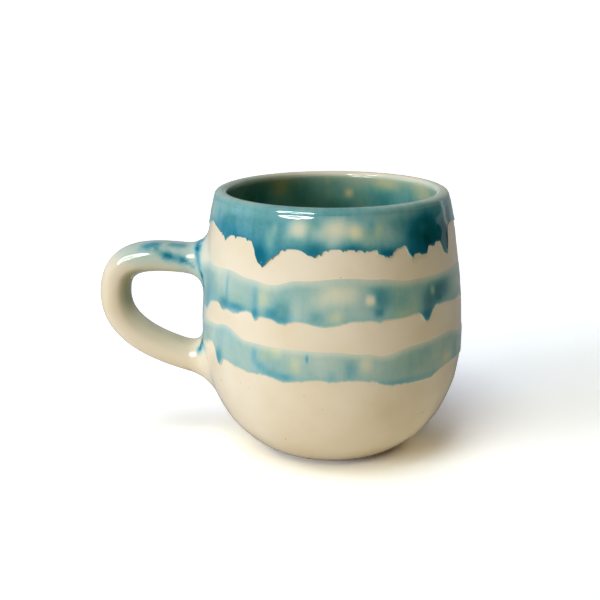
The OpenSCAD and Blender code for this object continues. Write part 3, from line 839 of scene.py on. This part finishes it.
def band_piece(name, low, top, rows, run, blue_line, thick, bead, drop, fade, soft, drips):
    """Closed sheet of glaze round the wall. It rises from its dripping edge and thins out at its top."""
    edge, crest = low(BAND_TURN), level(BAND_TURN, top) + BAND_OVERRUN
    z = rows_above(edge, crest, rows)
    turns = np.broadcast_to(BAND_TURN, z.shape)
    gap = edge_distance(BAND_TURN, edge, z)
    body = thick + bead * np.exp(-gap / BEAD_WIDTH) + drop * hanging_strength(BAND_TURN, z, edge, drips)
    thin = 1 - smooth(crest - fade, crest, z)
    lift = (body + TUCK) * edge_rounding(gap, 0.6) * thin - TUCK
    by_joint = 1 - smooth(BAND_STOPS, BAND_STARTS, np.abs(turned(turns, HANDLE_TURN)))
    lift = lift - by_joint * (lift + JOINT_TUCK)
    kept = under_rows(len(z))
    under = wall_point(turns[kept], z[kept], -SUNK)
    piece = closed_sheet(name, wall_point(turns, z, lift), under, band_finish)
    amount = run(turns, z) + EDGE_DARKER * np.exp(-gap / BEAD_WIDTH) * blue_line
    amount = amount * smooth(-0.1, soft, gap)
    warm, blue = tints(turns, z)
    paint_sheet(piece, kept, **glaze_values(amount, warm, blue + EDGE_BLUE * np.exp(-gap / 1.1) * blue_line))
    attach(piece, "root")
    return piece


def hanging_strength(turn, z, edge, drips):
    """1 in the swollen end of a drip, 0 elsewhere."""
    total = np.zeros_like(z)
    for centre, half, deep, _ in drips:
        aside = np.abs(turned(turn, centre) / half)
        total += min(deep / LONG_DRIP, 1) * np.exp(-aside ** 2) * np.exp(-(z - edge) / DROP_HEIGHT)
    return np.clip(total, 0, 1)


def build_bands():
    middle = band_piece("middle_band_runs", middle_low, MIDDLE_TOP, 26, middle_run, blue_line=0.35,
                        thick=0.12, bead=0.08, drop=0.35, fade=5.0, soft=0.8, drips=MIDDLE_DRIPS)
    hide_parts("middle_band_glaze")
    lower = band_piece("lower_band_runs", lower_low, LOWER_TOP, 24, lower_run, blue_line=0.3,
                       thick=0.12, bead=0.08, drop=0.32, fade=4.0, soft=0.8, drips=LOWER_DRIPS)
    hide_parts("lower_band_glaze")


# ---- Rim band over the lip, and the liner -------------------------------------------------

RIM_ROWS = 26
LIP_ROWS = 26
LIP_ARC = math.radians(172)
RIM_THICK, RIM_BEAD, RIM_DROP = 0.22, 0.14, 0.45
# How much thinner the rim's glaze is at the lip, and the height from which it thins
RIM_PALER, RIM_PALER_FROM = 0.12, 84.5
# Run on the lip: all round, how much more in front, and how much less at the right
LIP_BROKEN, LIP_NEAR, LIP_RIGHT = 0.30, 0.30, 0.14
LINER_RUN = 0.57
LINER_PATCHES = ((212, 84.5, 6, 3.4, -0.30), (232, 83, 10, 5, 0.22), (222, 80, 5, 3, 0.10),
                 (199, 80.5, 6, 3.6, 0.10), (185, 84, 7, 3, -0.08), (170, 81.8, 2.4, 1.7, -0.5),
                 (166, 85.5, 8, 2.4, -0.12), (151, 80, 9, 4, 0.14), (146, 86, 9, 2.2, -0.26),
                 (128, 81, 4, 4, 0.10), (116, 85, 10, 4, -0.28), (104, 80, 6, 6, -0.2),
                 (176, 76, 12, 4, 0.12), (90, 78, 9, 6, 0.1), (60, 70, 14, 12, -0.2),
                 (20, 60, 16, 10, -0.25), (-30, 66, 14, 10, -0.2), (-80, 60, 14, 12, -0.15),
                 (190, 55, 18, 10, -0.25), (110, 48, 16, 9, -0.2), (250, 50, 16, 9, -0.2))
LINER_BLUE = ((196, 80, 14, 6, 0.7), (222, 79, 7, 5, 0.6), (136, 80, 9, 4, 0.9), (152, 78, 8, 5, 0.7),
              (172, 78, 5, 4, 0.4), (100, 76, 8, 6, 0.4))
LINER_WARM = ((212, 84.5, 7, 4, 0.9), (236, 83, 10, 5, 0.6), (170, 82, 2.4, 1.8, 0.9),
              (146, 86, 9, 2.4, 0.5), (183, 87, 1.6, 1.4, 0.9), (116, 85, 10, 4, 0.4))


def lip_points(angles, out):
    """Points over the lip at angles in radians from its outer side, a distance out from it."""
    reach = LIP_R + out
    r = MOUTH_R + swell(BAND_TURN, LIP_Z + LIP_R * np.sin(angles)) + reach * np.cos(angles)
    height = np.broadcast_to(LIP_Z + reach * np.sin(angles), r.shape)
    return np.stack([r * np.sin(BAND_TURN), -r * np.cos(BAND_TURN), height], -1)


def lip_colour(angles):
    """Run, warm and blue over the lip: it breaks pale, with a dark line at its inner edge."""
    front = np.cos(BAND_TURN)
    broken = (LIP_BROKEN + LIP_NEAR * front - LIP_RIGHT * np.sin(BAND_TURN)
              + 0.05 * np.sin(3 * BAND_TURN + 1) + 0.04 * np.sin(11 * BAND_TURN))
    bare = smooth(math.radians(10), math.radians(75), angles)
    run = (RIM_RUN - RIM_PALER) * (1 - bare) + broken * bare
    inner = 0.42 + 0.24 * front
    run = run + (inner - run) * smooth(math.radians(126), math.radians(168), angles)
    ink = np.exp(-((angles - math.radians(104)) / 0.14) ** 2) * (0.4 + 0.4 * front)
    return run + 0.3 * ink, np.broadcast_to(0.3 * bare, run.shape), 0.1 + ink


def build_rim():
    """Closed sheet that rises from the dripping edge and goes over the lip."""
    edge = rim_low(BAND_TURN)
    z = rows_above(edge, LIP_Z, RIM_ROWS)
    turns = np.broadcast_to(BAND_TURN, z.shape)
    gap = edge_distance(BAND_TURN, edge, z)
    drops = hanging_strength(BAND_TURN, z, edge, RIM_DRIPS)
    body = RIM_THICK + RIM_BEAD * np.exp(-gap / 1.0) + RIM_DROP * drops
    lift = (body + TUCK) * edge_rounding(gap, 0.7) - TUCK
    angles = np.linspace(0, LIP_ARC, LIP_ROWS + 1)[1:, None]
    crest = np.exp(-((angles - math.radians(82)) / 0.55) ** 2)
    lip_lift = RIM_THICK - 0.20 * crest - 0.26 * smooth(math.radians(140), LIP_ARC, angles)
    over = np.vstack([wall_point(turns, z, lift), lip_points(angles, lip_lift)])
    under = np.vstack([wall_point(turns, z, -SUNK), lip_points(angles, -0.3)])
    kept = under_rows(len(over), 5)
    rim = closed_sheet("rim_band_runs", over, under[kept], rim_finish)

    run = (rim_run(turns, z) + 0.10 * np.exp(-gap / 1.2)) * smooth(-0.1, 0.35, gap)
    run = run - RIM_PALER * smooth(RIM_PALER_FROM, LIP_Z, z)
    warm, blue = tints(turns, z)
    on_wall = run, warm, blue + 0.5 * np.exp(-gap / 1.4)
    together = [np.vstack(pair) for pair in zip(on_wall, lip_colour(angles))]
    paint_sheet(rim, kept, **glaze_values(*together))
    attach(rim, "root")
    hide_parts("rim_glaze")


def tree_with(name, inputs):
    """New geometry tree with named inputs, its input node's outputs, and its output node."""
    tree = bpy.data.node_groups.new(name, "GeometryNodeTree")
    sockets = {}
    for label, kind in [("Geometry", "Geometry")] + inputs:
        sockets[label] = tree.interface.new_socket(label, in_out="INPUT", socket_type="NodeSocket" + kind)
    tree.interface.new_socket("Geometry", in_out="OUTPUT", socket_type="NodeSocketGeometry")
    return tree, sockets, tree.nodes.new("NodeGroupInput").outputs, tree.nodes.new("NodeGroupOutput")


def thrown_tree():
    """Turns a closed profile of (radius, 0, height) points round the mug's axis."""
    tree, sockets, given, out = tree_with("thrown_round", [("Steps round", "Int"), ("Glaze", "Material")])
    profile = given["Geometry"]
    size = add(tree, "GeometryNodeAttributeDomainSize", {"Geometry": profile}).outputs["Point Count"]
    around = math_node(tree, "ADD", given["Steps round"], 1)
    along = math_node(tree, "ADD", size, 1)
    grid = add(tree, "GeometryNodeMeshGrid", {"Size X": 1, "Size Y": 1, "Vertices X": around,
                                              "Vertices Y": along}).outputs["Mesh"]
    place = add(tree, "ShaderNodeSeparateXYZ", {0: add(tree, "GeometryNodeInputPosition").outputs[0]}).outputs
    angle = math_node(tree, "MULTIPLY", math_node(tree, "ADD", place[0], 0.5), 2 * math.pi)
    row = math_node(tree, "ROUND", math_node(tree, "MULTIPLY", math_node(tree, "ADD", place[1], 0.5), size))
    row = math_node(tree, "MODULO", row, size)
    where = add(tree, "GeometryNodeInputPosition").outputs[0]
    spot = add(tree, "GeometryNodeSampleIndex", {"Geometry": profile, "Value": where, "Index": row},
               data_type="FLOAT_VECTOR", domain="POINT").outputs["Value"]
    spot = add(tree, "ShaderNodeSeparateXYZ", {0: spot}).outputs
    x = math_node(tree, "MULTIPLY", spot[0], math_node(tree, "SINE", angle))
    back = math_node(tree, "MULTIPLY", spot[0], math_node(tree, "COSINE", angle))
    y = math_node(tree, "MULTIPLY", back, -1)
    turned_spot = add(tree, "ShaderNodeCombineXYZ", {0: x, 1: y, 2: spot[2]}).outputs[0]
    moved = add(tree, "GeometryNodeSetPosition", {"Geometry": grid, "Position": turned_spot}).outputs[0]
    merged = add(tree, "GeometryNodeMergeByDistance", {"Geometry": moved, "Distance": 1e-6}).outputs[0]
    real = add(tree, "GeometryNodeRealizeInstances", {"Geometry": merged}).outputs[0]
    glazed = add(tree, "GeometryNodeSetMaterial", {"Geometry": real, "Material": given["Glaze"]}).outputs[0]
    tree.links.new(glazed, out.inputs[0])
    return tree, sockets


def grown(name, host, tree, sockets, values):
    """Runs a geometry tree on a host object and keeps the result as a plain mesh piece."""
    change = host.modifiers.new(tree.name, "NODES")
    change.node_group = tree
    for label, value in values.items():
        change[sockets[label].identifier] = value
    graph = bpy.context.evaluated_depsgraph_get()
    mesh = bpy.data.meshes.new_from_object(host.evaluated_get(graph))
    mesh.name = name
    bpy.data.objects.remove(host)
    return add_object(name, mesh)


def facing_out(piece):
    """Turns a closed piece's faces outwards, and drops edges that carry no face."""
    bm = bmesh.new()
    bm.from_mesh(piece.data)
    bmesh.ops.delete(bm, geom=[e for e in bm.edges if not e.link_faces], context="EDGES")
    if bm.calc_volume(signed=True) < 0:
        bmesh.ops.reverse_faces(bm, faces=bm.faces[:])
    bm.to_mesh(piece.data)
    bm.free()
    piece.data.shade_smooth()


LINER_PALER = 0.22                         # how much thinner the liner is at its top and in the cup's middle


def inside_run(turn, r, z):
    """Thickness of the liner's run at a place in the cup."""
    run = np.maximum(LINER_RUN + patched(turn, z, LINER_PATCHES), 0.1)
    return run - LINER_PALER * (1 - smooth(3, 24, r)) - LINER_PALER * smooth(84.5, 88.5, z)


def build_liner():
    """Skin inside the cup, from a profile turned round the axis, with the wall's waves put in."""
    turn = np.radians(np.linspace(80, 180, 22))
    lip = np.stack([MOUTH_R + LIP_R * np.cos(turn), LIP_Z + LIP_R * np.sin(turn)], 1)
    face = joined(lip, inner_wall[::2])
    face[-1] = (0, FLOOR)
    slope = np.gradient(face, axis=0)
    slope /= np.linalg.norm(slope, axis=1)[:, None]
    back = face + COAT * np.stack([-slope[:, 1], slope[:, 0]], 1)
    back[-1] = (0, FLOOR - COAT)
    ring = np.vstack([face, back[::-1]])
    profile = bpy.data.meshes.new("liner_profile")
    profile.from_pydata([(r * MM, 0, z * MM) for r, z in ring], [], [])
    tree, sockets = thrown_tree()
    liner = grown("teal_liner", add_object("liner_profile", profile), tree, sockets,
                  {"Steps round": 360, "Glaze": liner_finish})
    facing_out(liner)
    p = points_of(liner.data)
    around, r, z = direction(p), np.hypot(p[:, 0], p[:, 1]), p[:, 2]
    wave = swell(around, z) * smooth(4, 20, r)
    p[:, 0] += wave * np.sin(around)
    p[:, 1] -= wave * np.cos(around)
    liner.data.vertices.foreach_set("co", (p * MM).ravel())
    paint(liner, run=inside_run(around, r, z), warm=np.clip(patched(around, z, LINER_WARM), 0, 1),
          blue=patched(around, z, LINER_BLUE), lively=np.full(len(p), 1.0))
    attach(liner, "root")
    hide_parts("liner_glaze")


# ---- Iron specks ---------------------------------------------------------------------------

def speck_tree():
    """Scatters small flat grains over a skin."""
    tree, sockets, given, out = tree_with("iron_specks", [
        ("Density", "Float"), ("Seed", "Int"), ("Smallest", "Float"), ("Largest", "Float"),
        ("Iron", "Material")])
    spread = add(tree, "GeometryNodeDistributePointsOnFaces",
                 {"Mesh": given["Geometry"], "Density": given["Density"], "Seed": given["Seed"]})
    chance = add(tree, "FunctionNodeRandomValue", {"Seed": given["Seed"]}, data_type="FLOAT").outputs[1]
    small_ones = math_node(tree, "POWER", chance, 3)
    span = math_node(tree, "SUBTRACT", given["Largest"], given["Smallest"])
    size = math_node(tree, "ADD", given["Smallest"], math_node(tree, "MULTIPLY", span, small_ones))
    grain = add(tree, "GeometryNodeMeshIcoSphere", {"Radius": 0.5, "Subdivisions": 2}).outputs["Mesh"]
    flat = add(tree, "GeometryNodeTransform", {"Geometry": grain, "Scale": (1, 0.75, 0.3)}).outputs[0]
    scale = add(tree, "ShaderNodeCombineXYZ", {0: size, 1: size, 2: size}).outputs[0]
    placed = add(tree, "GeometryNodeInstanceOnPoints",
                 {"Points": spread.outputs["Points"], "Instance": flat,
                  "Rotation": spread.outputs["Rotation"], "Scale": scale}).outputs[0]
    real = add(tree, "GeometryNodeRealizeInstances", {"Geometry": placed}).outputs[0]
    done = add(tree, "GeometryNodeSetMaterial", {"Geometry": real, "Material": given["Iron"]}).outputs[0]
    tree.links.new(done, out.inputs[0])
    return tree, sockets


def build_specks(skin_points, skin_faces):
    """Iron grains over the outside skin."""
    skin = bpy.data.meshes.new("skin")
    skin.from_pydata((skin_points * MM).tolist(), [], skin_faces)
    tree, sockets = speck_tree()
    specks = grown("iron_specks", add_object("skin", skin), tree, sockets,
                   {"Density": 3200.0, "Seed": 11, "Smallest": 0.00012, "Largest": 0.0007, "Iron": iron})
    specks.data.shade_smooth()
    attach(specks, "root")


# ---- Build -----------------------------------------------------------------------------------

skin_points, skin_faces = build_coat()
build_bands()
build_rim()
build_liner()
build_specks(skin_points, skin_faces)
for node in ("thrown_body", "pulled_handle", "upper_joint_coil", "lower_joint_coil"):
    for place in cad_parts[node].material_slots:
        place.material = bare_clay


# ---- Studio ------------------------------------------------------------------------------------

def plain_material(name, colour, glow=None):
    """Matt surface of one colour for the studio, which may glow as well."""
    material = bpy.data.materials.new(name)
    material.use_nodes = True
    tree = material.node_tree
    tree.nodes.clear()
    out = tree.nodes.new("ShaderNodeOutputMaterial")
    surface = add(tree, "ShaderNodeBsdfDiffuse", {"Color": (*colour, 1)}).outputs[0]
    if glow:
        shine = add(tree, "ShaderNodeEmission", {"Color": (*glow, 1)}).outputs[0]
        surface = add(tree, "ShaderNodeAddShader", {0: surface, 1: shine}).outputs[0]
    tree.links.new(surface, out.inputs["Surface"])
    return material


def sweep(name, material, drop=0.0):
    """Floor that curves up into a wall, in metres."""
    half, depth, bend, top = 4.0, 3.0, 0.8, 2.5
    curve = [(-half, 0.0), (depth - bend, 0.0)]
    curve += [(depth - bend + bend * math.sin(a), bend - bend * math.cos(a))
              for a in np.linspace(0.1, math.pi / 2, 16)]
    curve += [(depth, top)]
    points = np.array([(side * half, y, z - drop) for y, z in curve for side in (-1, 1)]) / MM
    faces = [[2 * i, 2 * i + 1, 2 * i + 3, 2 * i + 2] for i in range(len(curve) - 1)]
    floor = make_piece(name, points, faces, material)
    return floor


SEEN_FLOOR = (1.55, 1.53, 1.48)            # brighter than real, as on a light table
BOUNCE = (0.5, 0.49, 0.47)                 # what the floor gives back to the mug


FLOOR_GAP = 0.0005                         # metres from the seen floor down to the one that gives light back


def build_floor():
    """The floor that is seen, and under it the one that lights the mug from below."""
    seen = sweep("studio_floor", plain_material("studio_white", SEEN_FLOOR))
    seen.visible_diffuse = False
    seen.visible_glossy = False
    seen.visible_shadow = False
    bounce = sweep("studio_bounce", plain_material("studio_bounce", BOUNCE), drop=FLOOR_GAP)
    bounce.visible_camera = False


def aim(azimuth, elevation):
    """Unit vector from the mug: azimuth from -Y towards +X, elevation above the floor, in degrees."""
    a, e = math.radians(azimuth), math.radians(elevation)
    return Vector((math.cos(e) * math.sin(a), -math.cos(e) * math.cos(a), math.sin(e)))


# Soft daylight: name, azimuth, elevation, strength in red, green and blue
SOFT_LIGHTS = (("window", -60, 10, (0.75, 0.8, 0.9)), ("key", -30, 68, (0.25, 0.28, 0.3)),
               ("front", -30, 48, (0.08, 0.08, 0.03)), ("warm_front", -30, 10, (0.1, 0.05, 0.01)),
               ("overhead", 0, 88, (0.08, 0.07, 0.09)), ("sky", -90, 28, (0.04, 0.07, 0.12)),
               ("back_right", 150, 40, (0.05, 0.055, 0.06)), ("back_top", 180, 60, (0.09, 0.09, 0.085)))
# Warm reflectors between the two floors, round the mug: name, from azimuth, to azimuth, glow
REFLECTORS = (("reflector_left", -90, 0, (0.25, 0.21, 0.10)), ("reflector_right", 0, 90, (0.40, 0.35, 0.22)))
REFLECTOR_INSIDE, REFLECTOR_OUTSIDE = 0.030, 0.6   # their radii in metres
REFLECTOR_Z = -0.0003
LIGHT_SPREAD = 30                          # degrees that each light fills
CARD_DISTANCE = 1.2
CARD_CENTRE = Vector((0, 0, 0.055))        # the place on the mug's axis that the cards face
# Shapes in degrees as seen from there: the ring's half width and half height, and each card's sides
RING_AIM, RING_INSIDE, RING_OUTSIDE, RING_GLOW = (-38, 30), (13.0, 9.6), (17.4, 12.4), (60, 60, 60)
CARDS = (("window_card", -108, -78, 5, 16, (0.8, 1.0, 1.2)),
         ("panel_card", 126, 133, -6, 14, (0.9, 0.9, 0.9)))


def build_lights():
    """Soft lights, the reflectors and a dark world."""
    for name, azimuth, elevation, strength in SOFT_LIGHTS:
        data = bpy.data.lights.new(name, "SUN")
        data.angle = math.radians(LIGHT_SPREAD)
        data.energy = math.pi * max(strength)
        data.color = [v / max(strength) for v in strength]
        light = bpy.data.objects.new(name, data)
        bpy.context.scene.collection.objects.link(light)
        light.rotation_euler = aim(azimuth, elevation).to_track_quat("Z", "Y").to_euler()
        light.visible_glossy = False
    for name, first, last, glow in REFLECTORS:
        arc = [aim(a, 0) for a in np.linspace(first, last, 13)]
        corners = [(r * v.x, r * v.y, REFLECTOR_Z)
                   for r in (REFLECTOR_INSIDE, REFLECTOR_OUTSIDE) for v in arc]
        sheet = make_piece(name, np.array(corners) / MM, grid_faces(2, len(arc), False, False),
                           plain_material(name, BOUNCE, glow))
        sheet.visible_camera = False
        sheet.visible_glossy = False
        sheet.visible_shadow = False
    world = bpy.data.worlds.new("studio")
    bpy.context.scene.world = world
    world.use_nodes = True
    sky = next(n for n in world.node_tree.nodes if n.type == "BACKGROUND")
    sky.inputs["Color"].default_value = (1, 1, 1, 1)
    sky.inputs["Strength"].default_value = 0.0


def glossy_card(name, points, faces, glow):
    """Glowing shape that shows only as a reflection in the glaze."""
    card = make_piece(name, np.array(points) / MM, faces, plain_material(name, (0, 0, 0), glow))
    card.visible_camera = False
    card.visible_diffuse = False
    card.visible_shadow = False
    card.visible_transmission = False


def build_cards():
    """The ring of a soft box, a window at the side and a narrow panel behind."""
    ahead = aim(*RING_AIM)
    centre = CARD_CENTRE + CARD_DISTANCE * ahead
    side = ahead.cross(Vector((0, 0, 1))).normalized()
    up = side.cross(ahead).normalized()
    steps, ring = 48, []
    for i in range(steps):
        a = 2 * math.pi * i / steps
        for shape in (RING_INSIDE, RING_OUTSIDE):
            across, high = (CARD_DISTANCE * math.tan(math.radians(reach)) for reach in shape)
            ring.append(centre + across * math.cos(a) * side + high * math.sin(a) * up)
    faces = [[2 * i, 2 * i + 1, (2 * i + 3) % (2 * steps), (2 * i + 2) % (2 * steps)] for i in range(steps)]
    glossy_card("ring_card", [tuple(p) for p in ring], faces, RING_GLOW)
    for name, west, east, low, high, glow in CARDS:
        corners = [CARD_CENTRE + CARD_DISTANCE * aim(a, e)
                   for a, e in ((west, low), (east, low), (east, high), (west, high))]
        glossy_card(name, [tuple(p) for p in corners], [[0, 1, 2, 3]], glow)


CAMERA_BACK, CAMERA_UP, CAMERA_TILT = 0.35, 0.1489, 15.69   # metres, metres, degrees below level
CAMERA_LENS, CAMERA_SHIFT = 62.7, -32 / 600


def build_camera():
    data = bpy.data.cameras.new("camera")
    data.lens = CAMERA_LENS
    data.sensor_width = 36
    data.shift_x = CAMERA_SHIFT
    camera = bpy.data.objects.new("camera", data)
    bpy.context.scene.collection.objects.link(camera)
    camera.location = (0, -CAMERA_BACK, CAMERA_UP)
    camera.rotation_euler = (math.radians(90 - CAMERA_TILT), 0, 0)
    bpy.context.scene.camera = camera


build_floor()
build_lights()
build_cards()
build_camera()
bpy.context.scene.view_settings.view_transform = "Standard"
